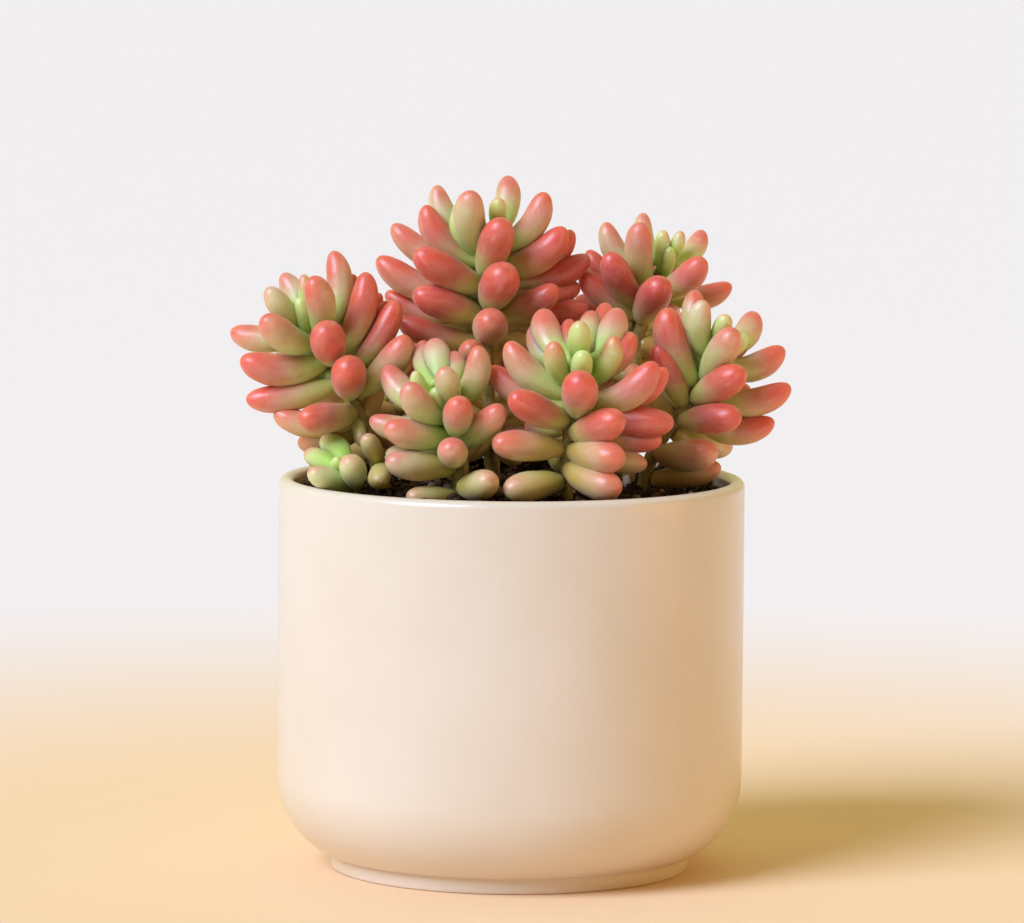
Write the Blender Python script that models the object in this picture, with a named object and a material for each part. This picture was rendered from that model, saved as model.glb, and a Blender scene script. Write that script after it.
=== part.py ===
"""Jelly bean plant (Sedum x rubrotinctum) growing in a round glazed pot.

Metres, +Z up. The origin is on the pot's axis, on the surface that the pot stands on, and -Y is the front.
Each shoot has a stem, a heart of young leaves, and whorls of bean-shaped leaves. The leaves of a group are
joined at a collar round the stem.
"""

import math

import bmesh
import bpy
from mathutils import Matrix, Vector, noise

# Pot
RIM_HEIGHT = 0.101
POT_RADIUS = 0.060
WALL = 0.004
EDGE_RADIUS = 0.022  # the rounded lower edge
EDGE_SWEEP = math.radians(62)
FOOT_RADIUS = 0.0463
FOOT_HEIGHT = 0.0043
FOOT_WIDTH = 0.006
FOOT_ROUND = 0.0006
FOOT_RECESS = 0.0018
POT_SIDES = 40

# Soil
SOIL_EDGE = 0.0037  # below the rim, along the wall
SOIL_MOUND = 0.0012  # higher in the middle
SOIL_LUMPS = 0.0005
SOIL_SIDES = 24

# Plant
STEM_FOOT_RADIUS = 0.0017
STEM_TOP_RADIUS = 0.0013
STEM_BURIED = 0.008
STEM_RINGS = 7
HEART_SHARE = 0.1  # the top share of a shoot's axis, above the stem's end
COLLAR = 0.0011  # how far a collar stands out from the stem
COLLAR_MARGIN = 0.02  # shares of the axis by which a collar passes its outermost roots
COLLAR_LENGTH = 0.06  # the shortest collar, as a share of the axis
LEAF_SIDES = 6
LEAF_RINGS = (0, 0.42, 0.84)  # shares of the way from root to tip
STEM_SIDES = 7
LONGEST_LEAF = 0.0185
LEAF_SLENDERNESS = 2.25  # a grown leaf's length over its width
GOLDEN_ANGLE = math.radians(137.5)
CLEARANCE = 0.0003  # between neighbours that touch in the growing plant

# Layout. Shoots are set out on a front elevation, as seen from an eye a little above the plant.
# Its places are in grid steps right of the pot's axis and above its rim, and its depths in millimetres.
GRID = 0.0002575
MM = 0.001
EYE = Vector((0, -1.6, 0.2706))
SIGHT_FALL = math.radians(5.91)
SIGHT_ROLL = math.radians(0.45)
SIGHT_CENTRE = 15.5  # grid steps above the rim at which the line of sight meets the elevation
SIGHT_STEPS = 6249.2  # grid steps from the eye to the elevation

# Leaves
WIDEST_AT = 0.42  # leaf lengths back from the tip
TIP_BLUNTNESS = 2.3  # 2 is an ellipse, more is blunter
TIP_FULLNESS = 0.48
ROOT_GIRTH = 0.50  # the root's width over the greatest width
LONGEST_OVER_WIDTH = 3.0  # a seen leaf's length over its width, past which its root is a plain neck
ROOT_DEPTH = 0.0004  # from its place on the axis to the middle of a root
ROOT_SPREAD = 5  # grid steps that a root may stand off the axis, towards its shoulder
SHOULDER_STEP = 8  # grid steps past the shoulder, where the nearest point of the axis is looked for
MOST_SWAY = 0.35  # a midline's greatest bow, over its length
REACH_OVER_LENGTH = 1.15  # root to tip, over the leaf's own length
BEND_DEPTH = 0.65  # share of a leaf's depth that its middle has
YOUNG_LEAF = 23 * GRID  # leaves this narrow belong to the heart
YOUNG_FORWARD = -1  # unless they lean further back than this
HEART_ROOT = 0.78  # the lowest share of the axis at which a heart's leaf is rooted
GROWN_ROOT = 0.2  # the same for a grown leaf
SINGLE_ROOT = 0.02  # and for a single leaf low on the stem
FEWEST_IN_WHORLS = 9  # a shoot with fewer grown leaves is one whorl

# Leaf spiral, for the sides that the layout leaves out. "Rise" runs from 0 at its lowest leaf to 1 at its
# highest.
SPIRAL_WIDTH = 31 * GRID
SPIRAL_WIDTH_SMALL = 20 * GRID  # on the small shoot
SPIRAL_NARROWING = 8 * GRID  # over the rise
SPIRAL_TILT = math.radians(82)  # from the axis
SPIRAL_LIFT = math.radians(44)  # over the rise
SPIRAL_LENGTH = 1.3  # over a grown leaf's own length
SPIRAL_SHORTENING = 0.3  # over the rise
SPIRAL_SAG = 0.1  # of a leaf's length
SPIRAL_TOP = 0.80  # its highest root, as a share of the axis
SPIRAL_TOP_HIDDEN = 0.95  # on a shoot that the layout leaves out

# Hearts of the hidden shoots
BUD_LEAVES = 4
BUD_WIDTH = 15 * GRID
BUD_ROOT = 0.97
BUD_STEP = 0.01  # of the axis, between one root and the next
BUD_REACH = 0.004
BUD_RISE = 0.007

# A shoot's axis runs from the soil to its heart: (right, up, back).
# A leaf is (tip right, tip up, shoulder right, shoulder up, width, tip forward of its root). Its midline
# passes the shoulder on the way to the nearest point of the axis. Single leaves sit low on the stem.
# "behind" is how many steps of the leaf spiral are looked through for leaves on the far side, the share of
# the axis at which they begin, and how far back the least turned of them points.
SHOOTS = {
    "left": {
        "axis": [(-127, -15, -8), (-140, 27, -8), (-154, 69, -6), (-177, 112, -5), (-205, 148, -5)],
        "leaves": [
            (-180, 226, -176, 160, 27, -5),
            (-201, 199, -189, 155, 30, 6),
            (-187, 149, -182, 126, 36, 17),
            (-164, 114, -163, 92, 36, 17),
            (-147, 205, -160, 140, 30, 0),
            (-116, 177, -145, 121, 27, 0),
            (-160, 203, -165, 165, 18, -8),
            (-126, 176, -146, 140, 20, -5),
            (-132, 184, -142, 160, 14, -8),
            (-247, 161, -213, 132, 31, 5),
            (-281, 147, -244, 138, 28, -2),
            (-271, 119, -212, 107, 34, 6),
            (-235, 130, -198, 121, 26, -6),
            (-232, 96, -194, 97, 26, -7),
            (-266, 78, -198, 85, 30, 3),
            (-212, 59, -174, 61, 31, 10),
            (-238, 65, -185, 50, 27, 2),
            (-244, 189, -222, 160, 24, 0),
            (-230, 203, -214, 176, 23, -5),
            (-208, 203, -207, 180, 15, -1),
            (-213, 179, -206, 148, 18, 6),
            (-105, 141, -134, 100, 32, 1),
            (-121, 35, -136, 42, 20, -6),
        ],
        "single": [(-150, 31, -154, 53, 14, 4), (-146, 41, -136, 22, 20, 7), (-134, -7, -132, 3, 23, 11)],
        "behind": (26, 0.30, 0.35),
    },
    "top": {
        "axis": [(-17, -13, 10), (-22, 57, 11), (-25, 137, 12), (-25, 197, 12), (-19, 245, 12)],
        "leaves": [
            (-5, 301, -8, 252, 26, -3),
            (-14, 278, -14, 254, 19, 2),
            (-39, 285, -38, 238, 32, 4),
            (-52, 270, -46, 230, 23, 0),
            (-75, 292, -62, 244, 26, -4),
            (-56, 273, -50, 255, 16, -1),
            (-86, 272, -62, 226, 30, 4),
            (-119, 253, -92, 226, 27, -2),
            (-134, 220, -97, 192, 31, 0),
            (-96, 226, -46, 195, 35, 13),
            (-98, 185, -43, 165, 34, 9),
            (-113, 158, -65, 138, 29, 5),
            (-85, 140, -48, 150, 28, -7),
            (-126, 185, -88, 164, 24, -3),
            (-9, 257, -25, 210, 35, 14),
            (-6, 208, -19, 180, 39, 19),
            (-21, 158, -22, 149, 36, 22),
            (-42, 131, -39, 123, 28, 20),
            (32, 285, 11, 234, 29, 2),
            (52, 250, 13, 213, 33, 5),
            (60, 247, 25, 206, 27, -4),
            (77, 221, 40, 200, 29, -2),
            (45, 191, 8, 167, 30, 8),
            (28, 150, 0, 160, 31, -3),
            (24, 122, -4, 138, 29, -4),
            (-4, 118, -18, 130, 26, -8),
            (77, 169, 46, 164, 29, -1),
            (68, 191, 30, 182, 31, -3),
            (-52, 24, -34, 32, 26, 4),
            (8, 18, -8, 30, 26, 4),
        ],
        "single": [],
        "behind": (36, 0.14, 0.35),
    },
    "rear_right": {
        "axis": [(116, -15, 18), (120, 77, 20), (126, 142, 22), (138, 182, 23), (152, 215, 24)],
        "leaves": [
            (94, 255, 106, 222, 26, -1),
            (130, 254, 129, 202, 29, 3),
            (132, 264, 136, 225, 21, -6),
            (151, 247, 150, 210, 17, 3),
            (158, 230, 154, 206, 14, 2),
            (169, 246, 160, 218, 15, 0),
            (190, 247, 173, 216, 22, -2),
            (190, 219, 160, 187, 30, 6),
            (151, 196, 133, 166, 34, 15),
            (98, 224, 117, 182, 31, 6),
            (76, 227, 95, 200, 24, -4),
            (70, 205, 106, 171, 29, 2),
            (64, 179, 100, 160, 28, -8),
            (219, 193, 191, 178, 26, 0),
            (152, 130, 134, 142, 30, -5),
            (78, 174, 108, 154, 29, -4),
            (92, 150, 114, 146, 27, -5),
            (104, 128, 118, 136, 27, -4),
            (164, 170, 136, 154, 28, -8),
            (136, 110, 126, 126, 27, -3),
        ],
        "single": [],
        "behind": (30, 0.22, 0.35),
    },
    "right": {
        "axis": [(128, -20, 0), (140, 22, -1), (156, 47, -1), (178, 77, -2), (200, 117, -3), (216, 145, -3)],
        "leaves": [
            (157, 169, 168, 110, 35, 6),
            (186, 152, 182, 114, 28, -2),
            (185, 187, 184, 150, 25, -4),
            (172, 165, 178, 122, 20, -9),
            (193, 176, 188, 135, 25, 3),
            (215, 161, 206, 140, 19, 2),
            (241, 165, 233, 124, 27, -1),
            (223, 147, 197, 105, 31, 9),
            (232, 143, 226, 123, 15, 3),
            (271, 130, 237, 103, 29, -1),
            (144, 132, 169, 80, 28, 7),
            (145, 93, 166, 77, 27, -4),
            (231, 106, 190, 82, 33, 15),
            (278, 92, 230, 73, 30, 1),
            (228, 61, 178, 57, 32, 14),
            (262, 57, 224, 43, 30, 1),
            (203, 27, 162, 21, 34, 5),
            (220, 30, 178, 37, 28, -2),
        ],
        "single": [(209, 11, 152, -2, 27, 2)],
        "behind": (22, 0.35, 0.35),
    },
    "front": {
        "axis": [(54, -17, -28), (54, 22, -28), (60, 62, -27), (66, 92, -26), (71, 125, -26)],
        "leaves": [
            (33, 168, 43, 122, 32, -2),
            (22, 152, 36, 118, 26, -12),
            (-3, 136, 25, 97, 31, 1),
            (-21, 111, 6, 85, 28, -2),
            (-1, 82, 38, 61, 32, 9),
            (-19, 34, 20, 31, 32, 7),
            (14, 50, 34, 49, 22, -12),
            (43, 135, 43, 92, 23, 7),
            (68, 155, 67, 120, 23, 1),
            (71, 125, 68, 98, 22, 8),
            (68, 100, 67, 73, 36, 17),
            (102, 141, 92, 93, 23, 6),
            (105, 169, 86, 118, 30, -1),
            (143, 115, 99, 74, 32, 8),
            (154, 109, 115, 75, 28, 1),
            (109, 60, 74, 46, 34, 14),
            (162, 55, 114, 56, 34, 4),
            (150, 36, 108, 41, 30, 1),
            (110, 18, 72, 24, 34, 13),
            (108, -11, 66, 2, 33, 11),
            (135, 12, 104, 17, 27, -6),
            (58, 157, 60, 130, 18, -13),
            (80, 164, 76, 135, 24, -16),
            (94, 173, 84, 138, 20, -19),
            (119, 145, 103, 108, 26, -4),
        ],
        "single": [(-7, -13, 40, -5, 31, 10)],
        "behind": (24, 0.12, 0.6),
    },
    "centre": {
        "axis": [(-54, -16, -26), (-55, 22, -26), (-62, 52, -25), (-71, 87, -25)],
        "leaves": [
            (-78, 138, -70, 90, 29, -1),
            (-88, 135, -85, 106, 24, -17),
            (-125, 112, -107, 70, 29, -2),
            (-103, 93, -83, 62, 30, 6),
            (-142, 59, -112, 48, 27, -1),
            (-126, 51, -84, 40, 31, 7),
            (-126, 16, -86, 11, 31, 6),
            (-53, 76, -55, 52, 30, 15),
            (-62, 29, -60, 26, 30, 18),
            (-11, 71, -37, 43, 28, 5),
            (-35, 131, -40, 84, 27, 0),
            (-69, 108, -61, 77, 25, 6),
            (-77, 88, -72, 72, 17, 7),
            (-97, 106, -87, 86, 15, 0),
            (-60, 125, -58, 95, 22, -6),
            (-126, 24, -92, 19, 26, -8),
        ],
        "single": [(-20, -3, -34, -8, 31, 12), (-105, -19, -65, -20, 24, 10)],
        "behind": (24, 0.12, 0.6),
    },
    "small": {
        "axis": [(-160, -19, -22), (-167, -3, -22), (-175, 12, -22)],
        "leaves": [
            (-206, 24, -182, 14, 21, -2),
            (-203, 5, -168, -7, 24, 5),
            (-166, 17, -152, 3, 26, 8),
            (-176, 19, -173, 9, 13, 3),
            (-190, 37, -160, 21, 25, -4),
        ],
        "single": [],
        "behind": (4, 0.35, 0.35),
    },
    "back_left": {
        "axis": [(-100, -5, 26), (-112, 52, 28), (-125, 98, 30)],
        "leaves": [],
        "single": [],
        "behind": (19, 0.38, -0.45),
    },
    "back_middle": {
        "axis": [(-20, 0, 34), (-25, 70, 38), (-30, 140, 43)],
        "leaves": [],
        "single": [],
        "behind": (24, 0.22, -0.45),
    },
    "back_right": {
        "axis": [(70, -3, 34), (75, 60, 38), (78, 115, 42)],
        "leaves": [],
        "single": [],
        "behind": (20, 0.26, -0.45),
    },
}


def clear_scene():
    for obj in list(bpy.data.objects):
        bpy.data.objects.remove(obj, do_unlink=True)


def material(name, colour, roughness):
    made = bpy.data.materials.new(name)
    made.use_nodes = True
    shader = made.node_tree.nodes["Principled BSDF"]
    shader.inputs["Base Color"].default_value = (*colour, 1)
    shader.inputs["Roughness"].default_value = roughness
    shader.inputs["Metallic"].default_value = 0
    made.diffuse_color = (*colour, 1)
    return made


def new_object(name, mesh):
    obj = bpy.data.objects.new(name, mesh)
    bpy.context.scene.collection.objects.link(obj)
    return obj


def arc(centre, radius, start, end, steps):
    """Points (radius from the pot's axis, height) along an arc, both ends included."""
    angles = [start + (end - start) * i / steps for i in range(steps + 1)]
    return [(centre[0] + radius * math.cos(a), centre[1] + radius * math.sin(a)) for a in angles]


def turned(name, outline, sides):
    """A solid of revolution. The outline starts and ends on the axis and runs down its outer side."""
    mesh = bpy.data.meshes.new(name)
    edges = [(i, i + 1) for i in range(len(outline) - 1)]
    mesh.from_pydata([(r, 0, z) for r, z in outline], edges, [])
    obj = new_object(name, mesh)
    screw = obj.modifiers.new("turn", "SCREW")
    screw.steps = sides
    screw.render_steps = sides
    screw.use_merge_vertices = True
    screw.merge_threshold = 0.00001
    return obj


# ---- pot and soil ----

EDGE_CENTRE = (POT_RADIUS - EDGE_RADIUS, EDGE_RADIUS + FOOT_RECESS)


def build_pot():
    lip = WALL / 2
    inner = arc(EDGE_CENTRE, EDGE_RADIUS - WALL, -math.pi / 2, 0, 4)
    rim = arc((POT_RADIUS - lip, RIM_HEIGHT - lip), lip, math.pi, 0, 4)
    outer = arc(EDGE_CENTRE, EDGE_RADIUS, 0, -EDGE_SWEEP, 6)
    foot_inside = FOOT_RADIUS - FOOT_WIDTH
    foot = [
        (FOOT_RADIUS, FOOT_HEIGHT),
        (FOOT_RADIUS, FOOT_ROUND),
        (FOOT_RADIUS - FOOT_ROUND, 0),
        (foot_inside, 0),
        (foot_inside - FOOT_ROUND, FOOT_RECESS),
        (0, FOOT_RECESS),
    ]
    floor = [(0, inner[0][1])]
    pot = turned("pot", floor + inner + rim + outer + foot, POT_SIDES)
    return applied(pot)


def soil_height(x, y):
    """The soil's surface: a low mound with lumps."""
    share = min(1, math.hypot(x, y) / (POT_RADIUS - WALL))
    mound = SOIL_MOUND * (1 - share**2)
    lump = SOIL_LUMPS * noise.noise(Vector((x, y, 0)) * 160) * (1 - share**6)
    return RIM_HEIGHT - SOIL_EDGE + mound + lump


def build_soil():
    radius = POT_RADIUS - WALL - CLEARANCE
    rings = 5
    top = [(radius * i / rings, RIM_HEIGHT - SOIL_EDGE) for i in range(rings + 1)]
    below = arc(EDGE_CENTRE, EDGE_RADIUS - WALL - CLEARANCE, 0, -math.pi / 2, 4)
    soil = applied(turned("soil", top + below + [(0, below[-1][1])], SOIL_SIDES))
    level = RIM_HEIGHT - SOIL_EDGE - CLEARANCE
    for vertex in soil.data.vertices:
        if vertex.co.z > level:
            vertex.co.z = soil_height(vertex.co.x, vertex.co.y)
    return soil


# ---- tapered bodies: leaves, stems and collars ----


class Taper:
    """A round body along a path of points, with a radius at each. A last radius of 0 makes a point."""

    def __init__(self, path, radii, sides):
        self.path = path
        self.radii = radii
        self.sides = sides
        self.twist = 1000 * sum(path[0])  # neighbours' corners stand at different angles, so none coincide

    def box(self, margin):
        low = [min(p[k] - r for p, r in zip(self.path, self.radii)) - margin for k in range(3)]
        high = [max(p[k] + r for p, r in zip(self.path, self.radii)) + margin for k in range(3)]
        return low, high

    def solid(self, name, grow=0.0):
        """The body as a closed mesh object, grown outward on every side where asked."""
        bm = bmesh.new()
        path = [p.copy() for p in self.path]
        path[0] -= (path[1] - path[0]).normalized() * grow
        path[-1] += (path[-1] - path[-2]).normalized() * grow
        rings = []
        side = Vector((0, 0, 1)).cross(path[-1] - path[0])
        side = side if side.length > 1e-6 else Vector((1, 0, 0))
        for i, point in enumerate(path):
            along = path[min(i + 1, len(path) - 1)] - path[max(i - 1, 0)]
            across = (side - side.project(along)).normalized()
            third = along.normalized().cross(across)
            radius = self.radii[i] + grow
            if i == len(path) - 1 and self.radii[i] == 0:
                rings.append([bm.verts.new(point)])
                continue
            turns = [self.twist + 2 * math.pi * k / self.sides for k in range(self.sides)]
            ring = [point + (across * math.cos(a) + third * math.sin(a)) * radius for a in turns]
            rings.append([bm.verts.new(p) for p in ring])
        for low, high in zip(rings, rings[1:]):
            for k in range(self.sides):
                n = (k + 1) % self.sides
                if len(high) == 1:
                    bm.faces.new((low[k], low[n], high[0]))
                else:
                    bm.faces.new((low[k], low[n], high[n], high[k]))
        bm.faces.new(rings[0][::-1])
        if len(rings[-1]) > 1:
            bm.faces.new(rings[-1])
        bmesh.ops.recalc_face_normals(bm, faces=bm.faces)
        mesh = bpy.data.meshes.new(name)
        bm.to_mesh(mesh)
        bm.free()
        return new_object(name, mesh)


def laid_out(right, up, back):
    """The point that the eye sees at a place of the elevation, at a depth in metres behind the pot's axis."""
    turn = Matrix.Rotation(math.pi / 2 - SIGHT_FALL, 3, "X") @ Matrix.Rotation(SIGHT_ROLL, 3, "Z")
    ray = turn @ Vector((right, up - SIGHT_CENTRE, -SIGHT_STEPS))
    return EYE + ray * ((back - EYE.y) / ray.y)


def smooth_axis(corners, steps=4):
    """The shoot's axis as a smooth curve through its corners, still in layout units."""
    ends = [Vector(c) for c in corners]
    ends = [2 * ends[0] - ends[1]] + ends + [2 * ends[-1] - ends[-2]]
    points = []
    for a, b, c, d in zip(ends, ends[1:], ends[2:], ends[3:]):
        for i in range(steps):
            t = i / steps
            bend = (2 * a - 5 * b + 4 * c - d) * t * t + (3 * b - a - 3 * c + d) * t**3
            points.append(b + ((c - a) * t + bend) / 2)
    return points + [ends[-2]]


def nearest_on(axis, right, up):
    """The axis point nearest to a place on the elevation, and its share of the way to the heart."""
    best = None
    for i, (a, b) in enumerate(zip(axis, axis[1:])):
        run = (b - a).xy
        share = max(0, min(1, (Vector((right, up)) - a.xy).dot(run) / run.length_squared))
        point = a.lerp(b, share)
        gap = (point.xy - Vector((right, up))).length
        if best is None or gap < best[0]:
            best = (gap, point, (i + share) / (len(axis) - 1))
    return best[1], best[2]


def point_on(axis, share):
    place = share * (len(axis) - 1)
    i = min(int(place), len(axis) - 2)
    return axis[i].lerp(axis[i + 1], place - i)


def leaf_girth(reach):
    """Share of the full width at a distance from the tip, in leaf lengths. It is widest near the tip."""
    if reach < WIDEST_AT:
        return (1 - ((WIDEST_AT - reach) / WIDEST_AT) ** TIP_BLUNTNESS) ** TIP_FULLNESS
    return max(ROOT_GIRTH, 1 - (1 - ROOT_GIRTH) * ((reach - WIDEST_AT) / (1 - WIDEST_AT)) ** 2)


def leaf_along(axis_point, bend, tip, width):
    """A leaf whose midline is a shallow curve from its collar to its tip, pulled towards the bend point."""
    root = axis_point + (bend - axis_point).normalized() * ROOT_DEPTH
    whole = ((bend - root).length + (tip - bend).length + (tip - root).length) / 2
    length = min(whole, LONGEST_OVER_WIDTH * width)
    path = []
    radii = []
    for share in LEAF_RINGS:
        path.append(root.lerp(bend, share).lerp(bend.lerp(tip, share), share))
        radii.append(width / 2 * leaf_girth((1 - share) * whole / length))
    path.append(tip)
    radii.append(0)
    return Taper(path, radii, LEAF_SIDES)


def front_leaf(axis, entry, lowest):
    """A leaf from the layout, with its root's share along the axis."""
    tip_right, tip_up, shoulder_right, shoulder_up, width, forward = entry
    tip = Vector((tip_right, tip_up))
    shoulder = Vector((shoulder_right, shoulder_up))
    inward = shoulder + (shoulder - tip).normalized() * SHOULDER_STEP
    root, share = nearest_on(axis, *inward)
    if share < lowest:
        share = lowest
        root = point_on(axis, share)
    aside = inward - root.xy
    aside *= min(1, ROOT_SPREAD / max(aside.length, 0.001))
    root = root + Vector((aside.x, aside.y, 0))
    run = root.xy - tip
    along = max(0, min(1, (shoulder - tip).dot(run) / run.length_squared))
    sway = (shoulder - tip.lerp(root.xy, along)) * 2
    sway *= min(1, MOST_SWAY * run.length / max(sway.length, 0.001))
    middle = (root.xy + tip) / 2 + sway
    seen = run.length * GRID
    whole = REACH_OVER_LENGTH * min(LEAF_SLENDERNESS * width * GRID, LONGEST_LEAF)
    depth = max(abs(forward) * MM, math.sqrt(max(0, whole**2 - seen**2)))
    depth = math.copysign(depth, forward)
    root_back = root.z * MM
    start = laid_out(root.x, root.y, root_back)
    bend = laid_out(middle.x, middle.y, root_back - BEND_DEPTH * depth)
    end = laid_out(tip.x, tip.y, root_back - depth)
    return leaf_along(start, bend, end, width * GRID), share


def spiral_leaves(axis, behind, highest, widest):
    """Leaves in the plant's own spiral, for the sides that the layout leaves out."""
    found = []
    steps, lowest, least_back = behind
    upward = (laid_out(*scaled(axis[-1])) - laid_out(*scaled(axis[-4]))).normalized()
    level = upward.cross(Vector((0, 1, 0))).normalized()
    for i in range(steps):
        rise = i / (steps - 1)
        turn = i * GOLDEN_ANGLE
        out = level * math.cos(turn) - level.cross(upward) * math.sin(turn)
        if out.y < least_back:
            continue
        share = lowest + (highest - lowest) * rise
        root = laid_out(*scaled(point_on(axis, share)))
        tilt = SPIRAL_TILT - SPIRAL_LIFT * rise
        width = widest - SPIRAL_NARROWING * rise
        length = (SPIRAL_LENGTH - SPIRAL_SHORTENING * rise) * LEAF_SLENDERNESS * width
        tip = root + (upward * math.cos(tilt) + out * math.sin(tilt)) * length
        bend = root.lerp(tip, 0.5) - upward * SPIRAL_SAG * length * math.sin(tilt)
        found.append((leaf_along(root, bend, tip, width), share))
    return found


def scaled(point):
    """An axis point with its depth in metres."""
    return point.x, point.y, point.z * MM


def stem_radius(share):
    return STEM_FOOT_RADIUS + (STEM_TOP_RADIUS - STEM_FOOT_RADIUS) * share


def stem_of(axis):
    shares = [i / (STEM_RINGS - 1) * (1 - HEART_SHARE) for i in range(STEM_RINGS)]
    path = [laid_out(*scaled(point_on(axis, s))) for s in shares]
    buried = path[0] + Vector((0, 0, -STEM_BURIED))
    return Taper([buried] + path, [STEM_FOOT_RADIUS] + [stem_radius(s) for s in shares], STEM_SIDES)


def collar_of(axis, low, high):
    low = max(0, low - COLLAR_MARGIN)
    high = min(1, max(high + COLLAR_MARGIN, low + COLLAR_LENGTH))
    shares = [low + (high - low) * i / 2 for i in range(3)]
    path = [laid_out(*scaled(point_on(axis, s))) for s in shares]
    return Taper(path, [stem_radius(s) + COLLAR for s in shares], STEM_SIDES)


# ---- joining and clearing ----


def applied(obj):
    """The object with its modifiers applied."""
    bpy.context.view_layer.update()
    graph = bpy.context.evaluated_depsgraph_get()
    mesh = bpy.data.meshes.new_from_object(obj.evaluated_get(graph))
    obj.modifiers.clear()
    obj.data = mesh
    return obj


def combined(obj, others, operation):
    """A Boolean of the object with all the others at once, which it uses up."""
    if not others:
        return obj
    group = bpy.data.collections.new("operands")
    bpy.context.scene.collection.children.link(group)
    for other in others:
        group.objects.link(other)
    boolean = obj.modifiers.new("combine", "BOOLEAN")
    boolean.operation = operation
    boolean.operand_type = "COLLECTION"
    boolean.collection = group
    boolean.solver = "MANIFOLD"  # leaves meet at shallow angles inside a collar
    applied(obj)
    for other in others:
        bpy.data.objects.remove(other, do_unlink=True)
    bpy.data.collections.remove(group)
    return obj


def keep_largest_body(obj):
    """Drops the crumbs that a clearance cut leaves beside the body."""
    bm = bmesh.new()
    bm.from_mesh(obj.data)
    left = set(bm.faces)
    bodies = []
    while left:
        edge = [left.pop()]
        body = list(edge)
        while edge:
            nearby = [f for e in edge.pop().edges for f in e.link_faces]
            fresh = {f for f in nearby if f in left}
            left -= fresh
            edge.extend(fresh)
            body.extend(fresh)
        bodies.append(body)
    bodies.sort(key=len)
    crumbs = [face for body in bodies[:-1] for face in body]
    bmesh.ops.delete(bm, geom=crumbs, context="FACES")
    bm.to_mesh(obj.data)
    bm.free()


def boxes_meet(first, second):
    return all(first[0][k] < second[1][k] and second[0][k] < first[1][k] for k in range(3))


class Plant:
    """Builds pieces one after another. Each new piece is cut clear of those built before it."""

    def __init__(self):
        self.built = []

    def near(self, tapers):
        boxes = [t.box(CLEARANCE) for t in tapers]
        return [b for b in self.built if any(boxes_meet(b.box(CLEARANCE), box) for box in boxes)]

    def add(self, name, tapers, look):
        solids = [t.solid(name + "_piece") for t in tapers]
        piece = combined(solids[0], solids[1:], "UNION")
        piece.name = name
        cutters = [t.solid("clearance", CLEARANCE) for t in self.near(tapers)]
        combined(piece, cutters, "DIFFERENCE")
        keep_largest_body(piece)
        piece.data.materials.clear()
        piece.data.materials.append(look)
        self.built.extend(tapers)
        return piece

    def clear_from(self, obj):
        """Cuts an object clear of the whole plant."""
        low = [min(v.co[k] for v in obj.data.vertices) for k in range(3)]
        high = [max(v.co[k] for v in obj.data.vertices) for k in range(3)]
        touching = [t for t in self.built if boxes_meet((low, high), t.box(CLEARANCE))]
        combined(obj, [t.solid("clearance", CLEARANCE) for t in touching], "DIFFERENCE")
        keep_largest_body(obj)


def whorls(leaves):
    """Leaves in three groups, from the lowest roots to the highest."""
    ordered = sorted(leaves, key=lambda leaf: leaf[1])
    third = max(1, round(len(ordered) / 3))
    return [ordered[:third], ordered[third : 2 * third], ordered[2 * third :]]


def bud_leaves(axis):
    """The young leaves of a shoot that the layout leaves out."""
    found = []
    for i in range(BUD_LEAVES):
        turn = i * GOLDEN_ANGLE
        root = laid_out(*scaled(point_on(axis, BUD_ROOT + BUD_STEP * i)))
        tip = root + Vector((BUD_REACH * math.cos(turn), BUD_REACH * math.sin(turn), BUD_RISE))
        found.append((leaf_along(root, root.lerp(tip, 0.5), tip, BUD_WIDTH), 1))
    return found


def leaves_of(name, axis):
    """(young, grown) leaves, each with its root's share along the axis."""
    shoot = SHOOTS[name]
    widest = SPIRAL_WIDTH_SMALL if name == "small" else SPIRAL_WIDTH
    if not shoot["leaves"]:
        return bud_leaves(axis), spiral_leaves(axis, shoot["behind"], SPIRAL_TOP_HIDDEN, widest)
    young = []
    grown = spiral_leaves(axis, shoot["behind"], SPIRAL_TOP, widest)
    for entry in shoot["leaves"]:
        in_heart = entry[4] * GRID <= YOUNG_LEAF and entry[5] >= YOUNG_FORWARD
        leaf = front_leaf(axis, entry, HEART_ROOT if in_heart else GROWN_ROOT)
        (young if leaf[1] >= HEART_ROOT else grown).append(leaf)
    return young, grown


def build_plant(looks):
    plant = Plant()
    axes = {name: smooth_axis(shoot["axis"]) for name, shoot in SHOOTS.items()}
    for name, axis in axes.items():
        plant.add(f"{name}_shoot_stem", [stem_of(axis)], looks["stem"])
    for name, axis in axes.items():
        young, grown = leaves_of(name, axis)
        if len(grown) < FEWEST_IN_WHORLS:
            groups = {"leaves": grown + young}
        else:
            lower, middle, upper = whorls(grown)
            groups = {"lower_leaves": lower, "middle_leaves": middle, "upper_leaves": upper, "heart": young}
        for title, group in reversed(groups.items()):
            shares = [share for leaf, share in group]
            whorl = [collar_of(axis, min(shares), max(shares))] + [leaf for leaf, share in group]
            look = looks["heart"] if title == "heart" else looks["leaf"]
            plant.add(f"{name}_shoot_{title}", whorl, look)
        for number, entry in enumerate(SHOOTS[name]["single"], 1):
            leaf = front_leaf(axis, entry, SINGLE_ROOT)[0]
            plant.add(f"{name}_shoot_single_leaf_{number}", [leaf], looks["old_leaf"])
    return plant


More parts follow.
